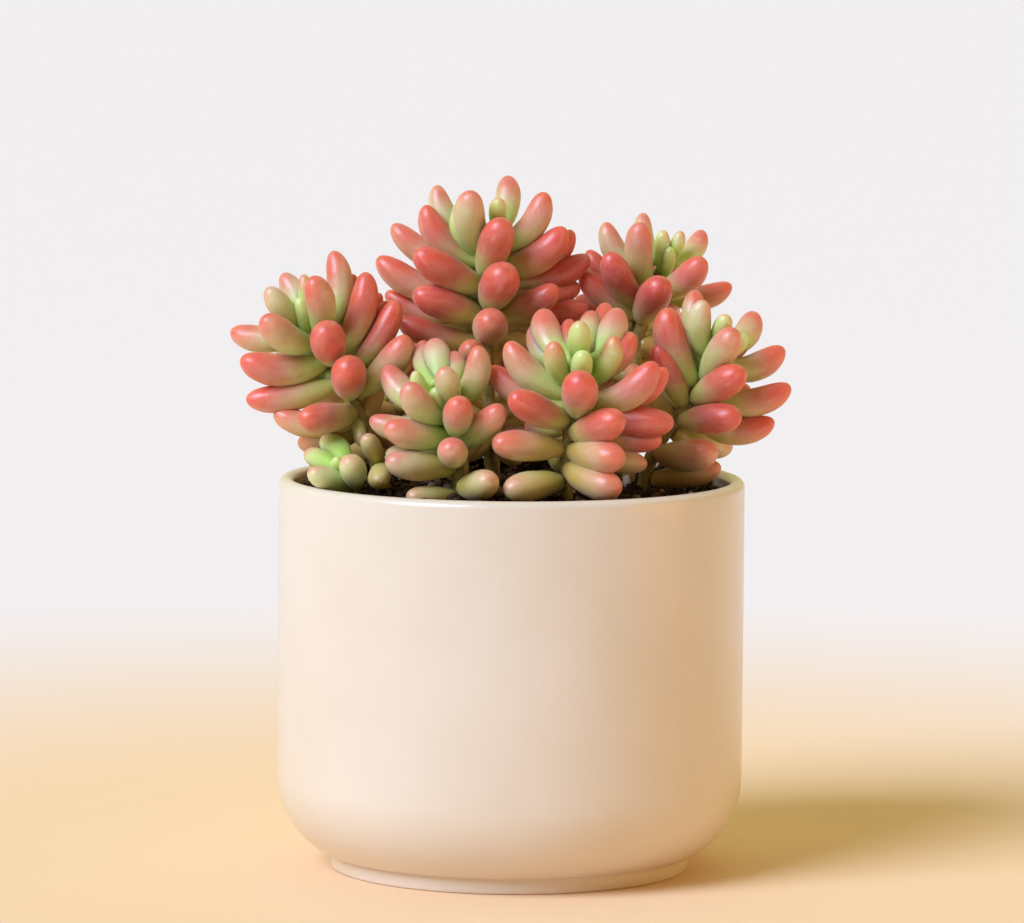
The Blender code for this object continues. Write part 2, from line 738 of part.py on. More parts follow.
def main():
    clear_scene()
    looks = {
        "glaze": material("cream glaze", (0.82, 0.70, 0.54), 0.25),
        "soil": material("potting soil", (0.055, 0.035, 0.022), 0.95),
        "stem": material("olive stem", (0.20, 0.15, 0.06), 0.6),
        "heart": material("young leaf green", (0.38, 0.55, 0.18), 0.4),
        "leaf": material("grown leaf coral", (0.72, 0.28, 0.20), 0.35),
        "old_leaf": material("old leaf olive", (0.42, 0.36, 0.13), 0.4),
    }
    plant = build_plant(looks)
    pot = build_pot()
    pot.data.materials.append(looks["glaze"])
    soil = build_soil()
    plant.clear_from(soil)
    soil.data.materials.clear()
    soil.data.materials.append(looks["soil"])


main()
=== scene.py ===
"""Looks of the jelly bean plant in its glazed pot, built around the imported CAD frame.

Metres, +Z up. The origin is on the pot's axis, on the floor, and -Y is the front.
The shoots, leaves and stems repeat the layout of the CAD part, each with a finer shape and its own colouring.
"""

import math
import random

import bmesh
import bpy
import numpy as np
from mathutils import Euler, Matrix, Vector, noise


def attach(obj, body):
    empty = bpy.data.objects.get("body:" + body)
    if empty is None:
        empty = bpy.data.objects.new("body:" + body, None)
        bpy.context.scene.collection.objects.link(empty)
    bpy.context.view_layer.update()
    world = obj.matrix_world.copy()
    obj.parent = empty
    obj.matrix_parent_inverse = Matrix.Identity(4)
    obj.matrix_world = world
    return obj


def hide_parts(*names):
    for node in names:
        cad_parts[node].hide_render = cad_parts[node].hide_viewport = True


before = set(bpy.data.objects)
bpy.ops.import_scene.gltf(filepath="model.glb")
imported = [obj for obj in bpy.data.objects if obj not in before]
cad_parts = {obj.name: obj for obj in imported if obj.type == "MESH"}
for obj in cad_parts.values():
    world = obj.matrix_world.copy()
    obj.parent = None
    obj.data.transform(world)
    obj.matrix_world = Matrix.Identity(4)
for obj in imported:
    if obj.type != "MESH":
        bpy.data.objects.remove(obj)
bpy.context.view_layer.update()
root = "root"

# ---- camera ----

SENSOR = 36  # mm across
LENS = 219.7  # mm
FAR_CLIP = 50
EYE = Vector((0, -1.6, 0.2706))
PITCH = math.radians(5.91)  # downwards
ROLL = math.radians(0.45)
SIGHT_TURN = Matrix.Rotation(math.pi / 2 - PITCH, 3, "X") @ Matrix.Rotation(ROLL, 3, "Z")


def build_camera():
    data = bpy.data.cameras.new("camera")
    data.sensor_fit = "HORIZONTAL"
    data.sensor_width = SENSOR
    data.lens = LENS
    data.clip_end = FAR_CLIP
    camera = bpy.data.objects.new("camera", data)
    bpy.context.scene.collection.objects.link(camera)
    camera.matrix_world = Matrix.Translation(EYE) @ SIGHT_TURN.to_4x4()
    bpy.context.scene.camera = camera


build_camera()

# ---- sizes shared with the CAD part ----

RIM_HEIGHT = 0.101
POT_RADIUS = 0.060
WALL = 0.004
EDGE_RADIUS = 0.022  # the rounded lower edge
EDGE_SWEEP = math.radians(62)
FOOT_RADIUS = 0.0463
FOOT_HEIGHT = 0.0043
FOOT_WIDTH = 0.006
FOOT_ROUND = 0.0006
FOOT_RECESS = 0.0018
SOIL_EDGE = 0.0037  # below the rim, along the wall
SOIL_MOUND = 0.0012  # higher in the middle
SOIL_LUMPS = 0.0005
SOIL_LUMP_SCALE = 160
STEM_FOOT_RADIUS = 0.0017
STEM_TOP_RADIUS = 0.0013
STEM_BURIED = 0.008
HEART_SHARE = 0.1  # the top share of a shoot's axis, above the stem's end

GRID = 0.0002575
MM = 0.001
FRAME_STEPS = 1024  # grid steps that the camera's frame spans on the layout's plane
SIGHT_CENTRE = 15.5  # grid steps above the layout's origin at which the line of sight meets it

LONGEST_LEAF = 0.0185
LEAF_SLENDERNESS = 2.25  # a grown leaf's length over its width
REACH_OVER_LENGTH = 1.15  # root to tip, over the leaf's own length
SHOULDER_STEP = 8  # grid steps past the shoulder, where the nearest point of the axis is looked for
ROOT_DEPTH = 0.0004  # from its place on the axis to the middle of a root
ROOT_SPREAD = 5  # grid steps that a root may stand off the axis, towards its shoulder
MOST_SWAY = 0.35  # a midline's greatest bow, over its length
BEND_DEPTH = 0.65  # share of a leaf's depth that its middle has
YOUNG_LEAF = 23 * GRID  # leaves this narrow belong to the heart
YOUNG_FORWARD = -1  # unless they lean further back than this
HEART_ROOT = 0.78  # the lowest share of the axis at which a heart's leaf is rooted
GROWN_ROOT = 0.2  # the same for a grown leaf
SINGLE_ROOT = 0.02  # and for a single leaf low on the stem
FEWEST_IN_WHORLS = 9  # a shoot with fewer grown leaves is one whorl
WIDEST_AT = 0.42  # leaf lengths back from the tip
TIP_BLUNTNESS = 2.3  # 2 is an ellipse, more is blunter
TIP_FULLNESS = 0.48
ROOT_GIRTH = 0.50  # the root's width over the greatest width
ROOT_TAPER = 2.0
MOST_SLENDER = 3.0  # a leaf's length over its width, past which its root is a plain neck

# Leaf spiral, for the sides that the layout leaves out. "Rise" runs from 0 at its lowest leaf to 1 at its
# highest. Its widths are in grid steps and its angles in degrees.
GOLDEN_ANGLE = math.radians(137.5)
SPIRAL_WIDTH = 31
SPIRAL_WIDTH_SMALL = 20  # on the small shoot
SPIRAL_NARROWING = 8  # over the rise
SPIRAL_TILT = 82  # from the axis
SPIRAL_LIFT = 44  # over the rise
SPIRAL_LENGTH = 1.3  # over a grown leaf's own length
SPIRAL_SHORTENING = 0.3  # over the rise
SPIRAL_SAG = 0.1  # of a leaf's length
SPIRAL_AIM = -4  # the point of the axis from which its last stretch sets the direction of the spiral
SPIRAL_BLUSH = 0.15  # at the lowest leaf
SPIRAL_REDDENING = 1.5  # over the rise
SPIRAL_GREENING = 1.1  # over the square of the rise
SPIRAL_UNEVENNESS = 0.12  # of blush, in a wave from leaf to leaf
SPIRAL_WAVE = 2.3  # radians from one leaf to the next
SPIRAL_YOUTH = 0.1
SPIRAL_FRESHENING = 0.6  # over the rise
SPIRAL_TOP = 0.80  # its highest root, as a share of the axis
SPIRAL_TOP_HIDDEN = 0.95  # on a shoot that the layout leaves out

# Hearts of the hidden shoots
BUD_LEAVES = 4
BUD_WIDTH = 15  # grid steps
BUD_ROOT = 0.97
BUD_STEP = 0.01  # of the axis, between one root and the next
BUD_REACH = 0.004
BUD_RISE = 0.007

# A shoot's axis runs from the soil to its heart: (right, up, back), in grid steps and millimetres back.
# A leaf is (tip right, tip up, shoulder right, shoulder up, width, tip forward of its root, blush). Its
# midline passes the shoulder on the way to the nearest point of the axis. Blush runs from 0, all green, to
# MOST_BLUSH, red nearly to the root. Single leaves sit low on the stem.
# "behind" is how many steps of the leaf spiral are looked through for leaves on the far side, the share of
# the axis at which they begin, and how far back the least turned of them points.
MOST_BLUSH = 9
SHOOTS = {
    "left": {
        "axis": [(-127, -15, -8), (-140, 27, -8), (-154, 69, -6), (-177, 112, -5), (-205, 148, -5)],
        "leaves": [
            (-180, 226, -176, 160, 27, -5, 4),
            (-201, 199, -189, 155, 30, 6, 5),
            (-187, 149, -182, 126, 36, 17, 8),
            (-164, 114, -163, 92, 36, 17, 7),
            (-147, 205, -160, 140, 30, 0, 7),
            (-116, 177, -145, 121, 27, 0, 7),
            (-160, 203, -165, 165, 18, -8, 4),
            (-126, 176, -146, 140, 20, -5, 6),
            (-132, 184, -142, 160, 14, -8, 6),
            (-247, 161, -213, 132, 31, 5, 4),
            (-281, 147, -244, 138, 28, -2, 4),
            (-271, 119, -212, 107, 34, 6, 6),
            (-235, 130, -198, 121, 26, -6, 2),
            (-232, 96, -194, 97, 26, -7, 2),
            (-266, 78, -198, 85, 30, 3, 5),
            (-212, 59, -174, 61, 31, 10, 6),
            (-238, 65, -185, 50, 27, 2, 4),
            (-244, 189, -222, 160, 24, 0, 2),
            (-230, 203, -214, 176, 23, -5, 2),
            (-208, 203, -207, 180, 15, -1, 2),
            (-213, 179, -206, 148, 18, 6, 0),
            (-105, 141, -134, 100, 32, 1, 4),
            (-121, 35, -136, 42, 20, -6, 3),
        ],
        "single": [
            (-150, 31, -154, 53, 14, 4, 1),
            (-146, 41, -136, 22, 20, 7, 1),
            (-134, -7, -132, 3, 23, 11, 0),
        ],
        "behind": (26, 0.30, 0.35),
    },
    "top": {
        "axis": [(-17, -13, 10), (-22, 57, 11), (-25, 137, 12), (-25, 197, 12), (-19, 245, 12)],
        "leaves": [
            (-5, 301, -8, 252, 26, -3, 3),
            (-14, 278, -14, 254, 19, 2, 1),
            (-39, 285, -38, 238, 32, 4, 3),
            (-52, 270, -46, 230, 23, 0, 1),
            (-75, 292, -62, 244, 26, -4, 2),
            (-56, 273, -50, 255, 16, -1, 0),
            (-86, 272, -62, 226, 30, 4, 6),
            (-119, 253, -92, 226, 27, -2, 4),
            (-134, 220, -97, 192, 31, 0, 5),
            (-96, 226, -46, 195, 35, 13, 7),
            (-98, 185, -43, 165, 34, 9, 7),
            (-113, 158, -65, 138, 29, 5, 6),
            (-85, 140, -48, 150, 28, -7, 4),
            (-126, 185, -88, 164, 24, -3, 5),
            (-9, 257, -25, 210, 35, 14, 7),
            (-6, 208, -19, 180, 39, 19, 7),
            (-21, 158, -22, 149, 36, 22, 4),
            (-42, 131, -39, 123, 28, 20, 4),
            (32, 285, 11, 234, 29, 2, 5),
            (52, 250, 13, 213, 33, 5, 7),
            (60, 247, 25, 206, 27, -4, 7),
            (77, 221, 40, 200, 29, -2, 8),
            (45, 191, 8, 167, 30, 8, 6),
            (28, 150, 0, 160, 31, -3, 5),
            (24, 122, -4, 138, 29, -4, 3),
            (-4, 118, -18, 130, 26, -8, 6),
            (77, 169, 46, 164, 29, -1, 7),
            (68, 191, 30, 182, 31, -3, 7),
            (-52, 24, -34, 32, 26, 4, 1),
            (8, 18, -8, 30, 26, 4, 1),
        ],
        "single": [],
        "behind": (36, 0.14, 0.35),
    },
    "rear_right": {
        "axis": [(116, -15, 18), (120, 77, 20), (126, 142, 22), (138, 182, 23), (152, 215, 24)],
        "leaves": [
            (94, 255, 106, 222, 26, -1, 3),
            (130, 254, 129, 202, 29, 3, 5),
            (132, 264, 136, 225, 21, -6, 2),
            (151, 247, 150, 210, 17, 3, 1),
            (158, 230, 154, 206, 14, 2, 0),
            (169, 246, 160, 218, 15, 0, 2),
            (190, 247, 173, 216, 22, -2, 3),
            (190, 219, 160, 187, 30, 6, 6),
            (151, 196, 133, 166, 34, 15, 8),
            (98, 224, 117, 182, 31, 6, 8),
            (76, 227, 95, 200, 24, -4, 6),
            (70, 205, 106, 171, 29, 2, 6),
            (64, 179, 100, 160, 28, -8, 6),
            (219, 193, 191, 178, 26, 0, 5),
            (152, 130, 134, 142, 30, -5, 5),
            (78, 174, 108, 154, 29, -4, 4),
            (92, 150, 114, 146, 27, -5, 3),
            (104, 128, 118, 136, 27, -4, 2),
            (164, 170, 136, 154, 28, -8, 2),
            (136, 110, 126, 126, 27, -3, 7),
        ],
        "single": [],
        "behind": (30, 0.22, 0.35),
    },
    "right": {
        "axis": [(128, -20, 0), (140, 22, -1), (156, 47, -1), (178, 77, -2), (200, 117, -3), (216, 145, -3)],
        "leaves": [
            (157, 169, 168, 110, 35, 6, 6),
            (186, 152, 182, 114, 28, -2, 0),
            (185, 187, 184, 150, 25, -4, 4),
            (172, 165, 178, 122, 20, -9, 4),
            (193, 176, 188, 135, 25, 3, 2),
            (215, 161, 206, 140, 19, 2, 1),
            (241, 165, 233, 124, 27, -1, 4),
            (223, 147, 197, 105, 31, 9, 4),
            (232, 143, 226, 123, 15, 3, 0),
            (271, 130, 237, 103, 29, -1, 5),
            (144, 132, 169, 80, 28, 7, 7),
            (145, 93, 166, 77, 27, -4, 6),
            (231, 106, 190, 82, 33, 15, 7),
            (278, 92, 230, 73, 30, 1, 5),
            (228, 61, 178, 57, 32, 14, 8),
            (262, 57, 224, 43, 30, 1, 5),
            (203, 27, 162, 21, 34, 5, 4),
            (220, 30, 178, 37, 28, -2, 2),
        ],
        "single": [(209, 11, 152, -2, 27, 2, 2)],
        "behind": (22, 0.35, 0.35),
    },
    "front": {
        "axis": [(54, -17, -28), (54, 22, -28), (60, 62, -27), (66, 92, -26), (71, 125, -26)],
        "leaves": [
            (33, 168, 43, 122, 32, -2, 4),
            (22, 152, 36, 118, 26, -12, 4),
            (-3, 136, 25, 97, 31, 1, 4),
            (-21, 111, 6, 85, 28, -2, 5),
            (-1, 82, 38, 61, 32, 9, 7),
            (-19, 34, 20, 31, 32, 7, 4),
            (14, 50, 34, 49, 22, -12, 5),
            (43, 135, 43, 92, 23, 7, 4),
            (68, 155, 67, 120, 23, 1, 1),
            (71, 125, 68, 98, 22, 8, 0),
            (68, 100, 67, 73, 36, 17, 6),
            (102, 141, 92, 93, 23, 6, 4),
            (105, 169, 86, 118, 30, -1, 3),
            (143, 115, 99, 74, 32, 8, 6),
            (154, 109, 115, 75, 28, 1, 7),
            (109, 60, 74, 46, 34, 14, 7),
            (162, 55, 114, 56, 34, 4, 9),
            (150, 36, 108, 41, 30, 1, 6),
            (110, 18, 72, 24, 34, 13, 4),
            (108, -11, 66, 2, 33, 11, 3),
            (135, 12, 104, 17, 27, -6, 2),
            (58, 157, 60, 130, 18, -13, 7),
            (80, 164, 76, 135, 24, -16, 4),
            (94, 173, 84, 138, 20, -19, 7),
            (119, 145, 103, 108, 26, -4, 6),
        ],
        "single": [(-7, -13, 40, -5, 31, 10, 1)],
        "behind": (24, 0.12, 0.6),
    },
    "centre": {
        "axis": [(-54, -16, -26), (-55, 22, -26), (-62, 52, -25), (-71, 87, -25)],
        "leaves": [
            (-78, 138, -70, 90, 29, -1, 2),
            (-88, 135, -85, 106, 24, -17, 3),
            (-125, 112, -107, 70, 29, -2, 3),
            (-103, 93, -83, 62, 30, 6, 3),
            (-142, 59, -112, 48, 27, -1, 3),
            (-126, 51, -84, 40, 31, 7, 4),
            (-126, 16, -86, 11, 31, 6, 2),
            (-53, 76, -55, 52, 30, 15, 5),
            (-62, 29, -60, 26, 30, 18, 3),
            (-11, 71, -37, 43, 28, 5, 4),
            (-35, 131, -40, 84, 27, 0, 4),
            (-69, 108, -61, 77, 25, 6, 2),
            (-77, 88, -72, 72, 17, 7, 0),
            (-97, 106, -87, 86, 15, 0, 1),
            (-60, 125, -58, 95, 22, -6, 3),
            (-126, 24, -92, 19, 26, -8, 1),
        ],
        "single": [(-20, -3, -34, -8, 31, 12, 1), (-105, -19, -65, -20, 24, 10, 1)],
        "behind": (24, 0.12, 0.6),
    },
    "small": {
        "axis": [(-160, -19, -22), (-167, -3, -22), (-175, 12, -22)],
        "leaves": [
            (-206, 24, -182, 14, 21, -2, 2),
            (-203, 5, -168, -7, 24, 5, 1),
            (-166, 17, -152, 3, 26, 8, 1),
            (-176, 19, -173, 9, 13, 3, 0),
            (-190, 37, -160, 21, 25, -4, 1),
        ],
        "single": [],
        "behind": (4, 0.35, 0.35),
    },
    "back_left": {
        "axis": [(-100, -5, 26), (-112, 52, 28), (-125, 98, 30)],
        "leaves": [],
        "single": [],
        "behind": (19, 0.38, -0.45),
    },
    "back_middle": {
        "axis": [(-20, 0, 34), (-25, 70, 38), (-30, 140, 43)],
        "leaves": [],
        "single": [],
        "behind": (24, 0.22, -0.45),
    },
    "back_right": {
        "axis": [(70, -3, 34), (75, 60, 38), (78, 115, 42)],
        "leaves": [],
        "single": [],
        "behind": (20, 0.26, -0.45),
    },
}


# ---- layout, as in the CAD part ----

SIGHT_STEPS = LENS / SENSOR * FRAME_STEPS  # grid steps from the eye to the layout's plane


def laid_out(right, up, back):
    """The point at a depth behind the pot's axis that is seen from the eye at a place of the layout."""
    ray = SIGHT_TURN @ Vector((right, up - SIGHT_CENTRE, -SIGHT_STEPS))
    return EYE + ray * ((back - EYE.y) / ray.y)


def smooth_axis(corners, steps=4):
    """Points of a smooth curve through the corners, so many steps from each to the next."""
    ends = [Vector(c) for c in corners]
    ends = [2 * ends[0] - ends[1]] + ends + [2 * ends[-1] - ends[-2]]
    points = []
    for a, b, c, d in zip(ends, ends[1:], ends[2:], ends[3:]):
        for i in range(steps):
            t = i / steps
            bend = (2 * a - 5 * b + 4 * c - d) * t * t + (3 * b - a - 3 * c + d) * t**3
            points.append(b + ((c - a) * t + bend) / 2)
    return points + [ends[-2]]


def nearest_on(axis, right, up):
    """(point, share of the axis) nearest to a place of the layout."""
    best = None
    for i, (a, b) in enumerate(zip(axis, axis[1:])):
        run = (b - a).xy
        share = max(0, min(1, (Vector((right, up)) - a.xy).dot(run) / run.length_squared))
        point = a.lerp(b, share)
        gap = (point.xy - Vector((right, up))).length
        if best is None or gap < best[0]:
            best = (gap, point, (i + share) / (len(axis) - 1))
    return best[1], best[2]


def point_on(axis, share):
    place = share * (len(axis) - 1)
    i = min(int(place), len(axis) - 2)
    return axis[i].lerp(axis[i + 1], place - i)


def scaled(point):
    """(right, up, back), with back in metres."""
    return point.x, point.y, point.z * MM


def place_on(axis, share):
    """The place in space of a share of an axis."""
    return laid_out(*scaled(point_on(axis, share)))


GROWTH_SPAN = 0.06  # the share of an axis over which its direction is taken


def growth_at(axis, share):
    """The direction in which the shoot grows at a share of its axis."""
    low = max(0, min(share, 1 - GROWTH_SPAN))
    return (place_on(axis, low + GROWTH_SPAN) - place_on(axis, low)).normalized()


class Leaf:
    """A leaf's midline and width, where and which way its shoot grows there, and how it is coloured."""

    def __init__(self, start, bend, tip, width, share, growth, blush, youth, seed):
        self.start = start
        self.bend = bend
        self.tip = tip
        self.width = width
        self.share = share
        self.growth = growth
        self.blush = blush
        self.youth = youth
        self.seed = seed


TINY = 0.001  # grid steps, in place of a length of none
SEED_FACTORS = Vector((7919, 1299709, 104729))


def leaf_of(axis_point, bend, tip, width, share, growth, blush, youth):
    start = axis_point + (bend - axis_point).normalized() * ROOT_DEPTH
    seed = abs(math.sin(tip.x * SEED_FACTORS.x + tip.z * SEED_FACTORS.z + tip.y * SEED_FACTORS.y)) % 1
    return Leaf(start, bend, tip, width, share, growth, blush, youth, seed)


def front_leaf(axis, entry, lowest, youth):
    """A leaf of the layout, rooted no lower than a share of the axis. Its width and length set its depth."""
    tip_right, tip_up, shoulder_right, shoulder_up, width, forward, blush = entry
    tip = Vector((tip_right, tip_up))
    shoulder = Vector((shoulder_right, shoulder_up))
    inward = shoulder + (shoulder - tip).normalized() * SHOULDER_STEP
    base, share = nearest_on(axis, *inward)
    if share < lowest:
        share = lowest
        base = point_on(axis, share)
    aside = inward - base.xy
    aside *= min(1, ROOT_SPREAD / max(aside.length, TINY))
    base = base + Vector((aside.x, aside.y, 0))
    run = base.xy - tip
    along = max(0, min(1, (shoulder - tip).dot(run) / run.length_squared))
    sway = (shoulder - tip.lerp(base.xy, along)) * 2
    sway *= min(1, MOST_SWAY * run.length / max(sway.length, TINY))
    middle = (base.xy + tip) / 2 + sway
    seen = run.length * GRID
    whole = REACH_OVER_LENGTH * min(LEAF_SLENDERNESS * width * GRID, LONGEST_LEAF)
    depth = max(abs(forward) * MM, math.sqrt(max(0, whole**2 - seen**2)))
    depth = math.copysign(depth, forward)
    back = base.z * MM
    start = laid_out(base.x, base.y, back)
    bend = laid_out(middle.x, middle.y, back - BEND_DEPTH * depth)
    end = laid_out(tip.x, tip.y, back - depth)
    return leaf_of(start, bend, end, width * GRID, share, growth_at(axis, share), blush / MOST_BLUSH, youth)


def spiral_leaves(axis, steps, lowest, highest, least_back, widest):
    """The leaves of the spiral that point at least so far back."""
    found = []
    for i in range(steps):
        rise = i / (steps - 1)
        share = lowest + (highest - lowest) * rise
        base = place_on(axis, share)
        upward = (place_on(axis, 1) - laid_out(*scaled(axis[SPIRAL_AIM]))).normalized()
        turn = i * GOLDEN_ANGLE
        level = upward.cross(Vector((0, 1, 0))).normalized()
        out = level * math.cos(turn) + level.cross(upward) * -math.sin(turn)
        tilt = math.radians(SPIRAL_TILT - SPIRAL_LIFT * rise)
        width = (widest - SPIRAL_NARROWING * rise) * GRID
        length = (SPIRAL_LENGTH - SPIRAL_SHORTENING * rise) * LEAF_SLENDERNESS * width
        aim = upward * math.cos(tilt) + out * math.sin(tilt)
        tip = base + aim * length
        if out.y < least_back:
            continue
        bend = base.lerp(tip, 0.5) - upward * SPIRAL_SAG * length * math.sin(tilt)
        wave = SPIRAL_UNEVENNESS * math.sin(i * SPIRAL_WAVE)
        blush = SPIRAL_BLUSH + SPIRAL_REDDENING * rise - SPIRAL_GREENING * rise**2 + wave
        youth = SPIRAL_YOUTH + SPIRAL_FRESHENING * rise
        found.append(leaf_of(base, bend, tip, width, share, growth_at(axis, share), blush, youth))
    return found


LEAST_YOUTH = 0.2
YOUTH_OVER_AXIS = 0.5
YOUNG_SHOOTS = {"small": 0.30, "centre": 0.14, "front": 0.06, "right": 0.04}  # greener than the others
BUD_BLUSH = 0.05


def leaves_of(name, axis):
    """(young, grown) leaves of a shoot. Youth runs from 0, old, to 1, a heart's leaf."""
    shoot = SHOOTS[name]
    young = []
    grown = []
    for entry in shoot["leaves"]:
        in_heart = entry[4] * GRID <= YOUNG_LEAF and entry[5] >= YOUNG_FORWARD
        leaf = front_leaf(axis, entry, HEART_ROOT if in_heart else GROWN_ROOT, 1.0)
        if not in_heart:
            leaf.youth = LEAST_YOUTH + YOUTH_OVER_AXIS * leaf.share + YOUNG_SHOOTS.get(name, 0)
        (young if leaf.share >= HEART_ROOT else grown).append(leaf)
    widest = SPIRAL_WIDTH_SMALL if name == "small" else SPIRAL_WIDTH
    count, lowest, least_back = shoot["behind"]
    highest = SPIRAL_TOP if shoot["leaves"] else SPIRAL_TOP_HIDDEN
    grown += spiral_leaves(axis, count, lowest, highest, least_back, widest)
    if not shoot["leaves"]:
        for k in range(BUD_LEAVES):
            turn = k * GOLDEN_ANGLE
            top = place_on(axis, BUD_ROOT + BUD_STEP * k)
            tip = top + Vector((BUD_REACH * math.cos(turn), BUD_REACH * math.sin(turn), BUD_RISE))
            up = Vector((0, 0, 1))
            young.append(leaf_of(top, top.lerp(tip, 0.5), tip, BUD_WIDTH * GRID, 1, up, BUD_BLUSH, 1.0))
    return young, grown


def whorls(leaves):
    """Lower, middle and upper thirds."""
    ordered = sorted(leaves, key=lambda leaf: leaf.share)
    third = max(1, round(len(ordered) / 3))
    return [ordered[:third], ordered[third : 2 * third], ordered[2 * third :]]


# ---- meshes ----

LEAF_RINGS = 22
LEAF_SIDES = 20
LEAF_FLATNESS = 0.93  # of its upper side, over its underside
LEAF_LUMPS = 0.035
LEAF_LUMP_SCALE = 260
LEAF_LUMP_OFFSETS = (50, 17, 31)  # by seed, so that no two leaves have the same lumps
NEARLY_NONE = 0.01


def girth(reach):
    """Share of the full width at a distance from the tip, in leaf lengths."""
    if reach < WIDEST_AT:
        return (1 - ((WIDEST_AT - reach) / WIDEST_AT) ** TIP_BLUNTNESS) ** TIP_FULLNESS
    fall = ((reach - WIDEST_AT) / (1 - WIDEST_AT)) ** ROOT_TAPER
    return max(ROOT_GIRTH, 1 - (1 - ROOT_GIRTH) * fall)


def curve_point(leaf, t):
    return leaf.start.lerp(leaf.bend, t).lerp(leaf.bend.lerp(leaf.tip, t), t)


def curve_way(leaf, t):
    return ((leaf.bend - leaf.start) * (1 - t) + (leaf.tip - leaf.bend) * t).normalized()


def leaf_mesh(leaf):
    """(points, faces, {attribute: values}) of one leaf."""
    chord = (leaf.tip - leaf.start).length
    whole = ((leaf.bend - leaf.start).length + (leaf.tip - leaf.bend).length + chord) / 2
    length = min(whole, MOST_SLENDER * leaf.width)
    points = []
    reach_of = []
    upper_of = []
    offset = Vector([leaf.seed * step for step in LEAF_LUMP_OFFSETS])
    for i in range(LEAF_RINGS):
        # Rings gather towards the tip, where the outline turns fastest.
        t = math.sin(0.5 * math.pi * (i / LEAF_RINGS))
        centre = curve_point(leaf, t)
        way = curve_way(leaf, t)
        up = leaf.growth - leaf.growth.project(way)
        up = up.normalized() if up.length > NEARLY_NONE else way.orthogonal().normalized()
        across = way.cross(up)
        radius = leaf.width / 2 * girth((1 - t) * whole / length)
        for k in range(LEAF_SIDES):
            a = 2 * math.pi * k / LEAF_SIDES
            flat = LEAF_FLATNESS if math.sin(a) > 0 else 1.0
            out = across * math.cos(a) + up * math.sin(a) * flat
            lump = 1 + LEAF_LUMPS * noise.noise((centre + out * radius) * LEAF_LUMP_SCALE + offset)
            points.append(centre + out * radius * lump)
            reach_of.append(t)
            upper_of.append(math.sin(a))
    points.append(leaf.tip)
    reach_of.append(1)
    upper_of.append(0)
    faces = []
    for i in range(LEAF_RINGS - 1):
        for k in range(LEAF_SIDES):
            n = (k + 1) % LEAF_SIDES
            low = i * LEAF_SIDES
            faces.append((low + k, low + n, low + LEAF_SIDES + n, low + LEAF_SIDES + k))
    last = (LEAF_RINGS - 1) * LEAF_SIDES
    faces += [(last + k, last + (k + 1) % LEAF_SIDES, len(points) - 1) for k in range(LEAF_SIDES)]
    faces.append(tuple(reversed(range(LEAF_SIDES))))
    count = len(points)
    values = {
        "reach": reach_of,
        "upper": upper_of,
        "blush": [leaf.blush] * count,
        "youth": [leaf.youth] * count,
        "seed": [leaf.seed] * count,
    }
    return points, faces, values


def new_mesh_object(name, points, faces, values, look):
    mesh = bpy.data.meshes.new(name)
    mesh.from_pydata([tuple(p) for p in points], [], faces)
    for key, data in values.items():
        attribute = mesh.attributes.new(key, "FLOAT", "POINT")
        attribute.data.foreach_set("value", np.array(data, np.float32))
    mesh.polygons.foreach_set("use_smooth", [True] * len(mesh.polygons))
    mesh.materials.append(look)
    mesh.update()
    obj = bpy.data.objects.new(name, mesh)
    bpy.context.scene.collection.objects.link(obj)
    return obj


def joined(parts):
    """Several (points, faces, values) as one."""
    points = []
    faces = []
    values = {}
    for part_points, part_faces, part_values in parts:
        base = len(points)
        points += part_points
        faces += [tuple(base + i for i in face) for face in part_faces]
        for key, data in part_values.items():
            values.setdefault(key, []).extend(data)
    return points, faces, values


STEM_RINGS = 40
STEM_SIDES = 16
STEM_KNOTS = 0.10  # of its radius
STEM_KNOT_TURN = 1.9  # radians of a wave of knots from ring to ring
STEM_LUMPS = 0.18
STEM_LUMP_SCALE = 420


def stem_mesh(axis):
    """A lumpy stem with slight knots."""
    points = []
    faces = []
    for i in range(STEM_RINGS + 1):
        share = i / STEM_RINGS * (1 - HEART_SHARE / 2)
        centre = place_on(axis, share)
        if i == 0:
            centre = centre - Vector((0, 0, STEM_BURIED / 2))
        way = growth_at(axis, share)
        side = way.cross(Vector((0, 1, 0))).normalized()
        third = way.cross(side)
        radius = STEM_FOOT_RADIUS + (STEM_TOP_RADIUS - STEM_FOOT_RADIUS) * share
        knot = 1 + STEM_KNOTS * max(0, math.sin(i * STEM_KNOT_TURN))
        for k in range(STEM_SIDES):
            a = 2 * math.pi * k / STEM_SIDES
            out = side * math.cos(a) + third * math.sin(a)
            lump = knot + STEM_LUMPS * noise.noise((centre + out * radius) * STEM_LUMP_SCALE)
            points.append(centre + out * radius * lump)
    for i in range(STEM_RINGS):
        for k in range(STEM_SIDES):
            n = (k + 1) % STEM_SIDES
            low = i * STEM_SIDES
            faces.append((low + k, low + n, low + STEM_SIDES + n, low + STEM_SIDES + k))
    faces.append(tuple(reversed(range(STEM_SIDES))))
    faces.append(tuple(range(STEM_RINGS * STEM_SIDES, (STEM_RINGS + 1) * STEM_SIDES)))
    return points, faces, {}


# ---- materials ----


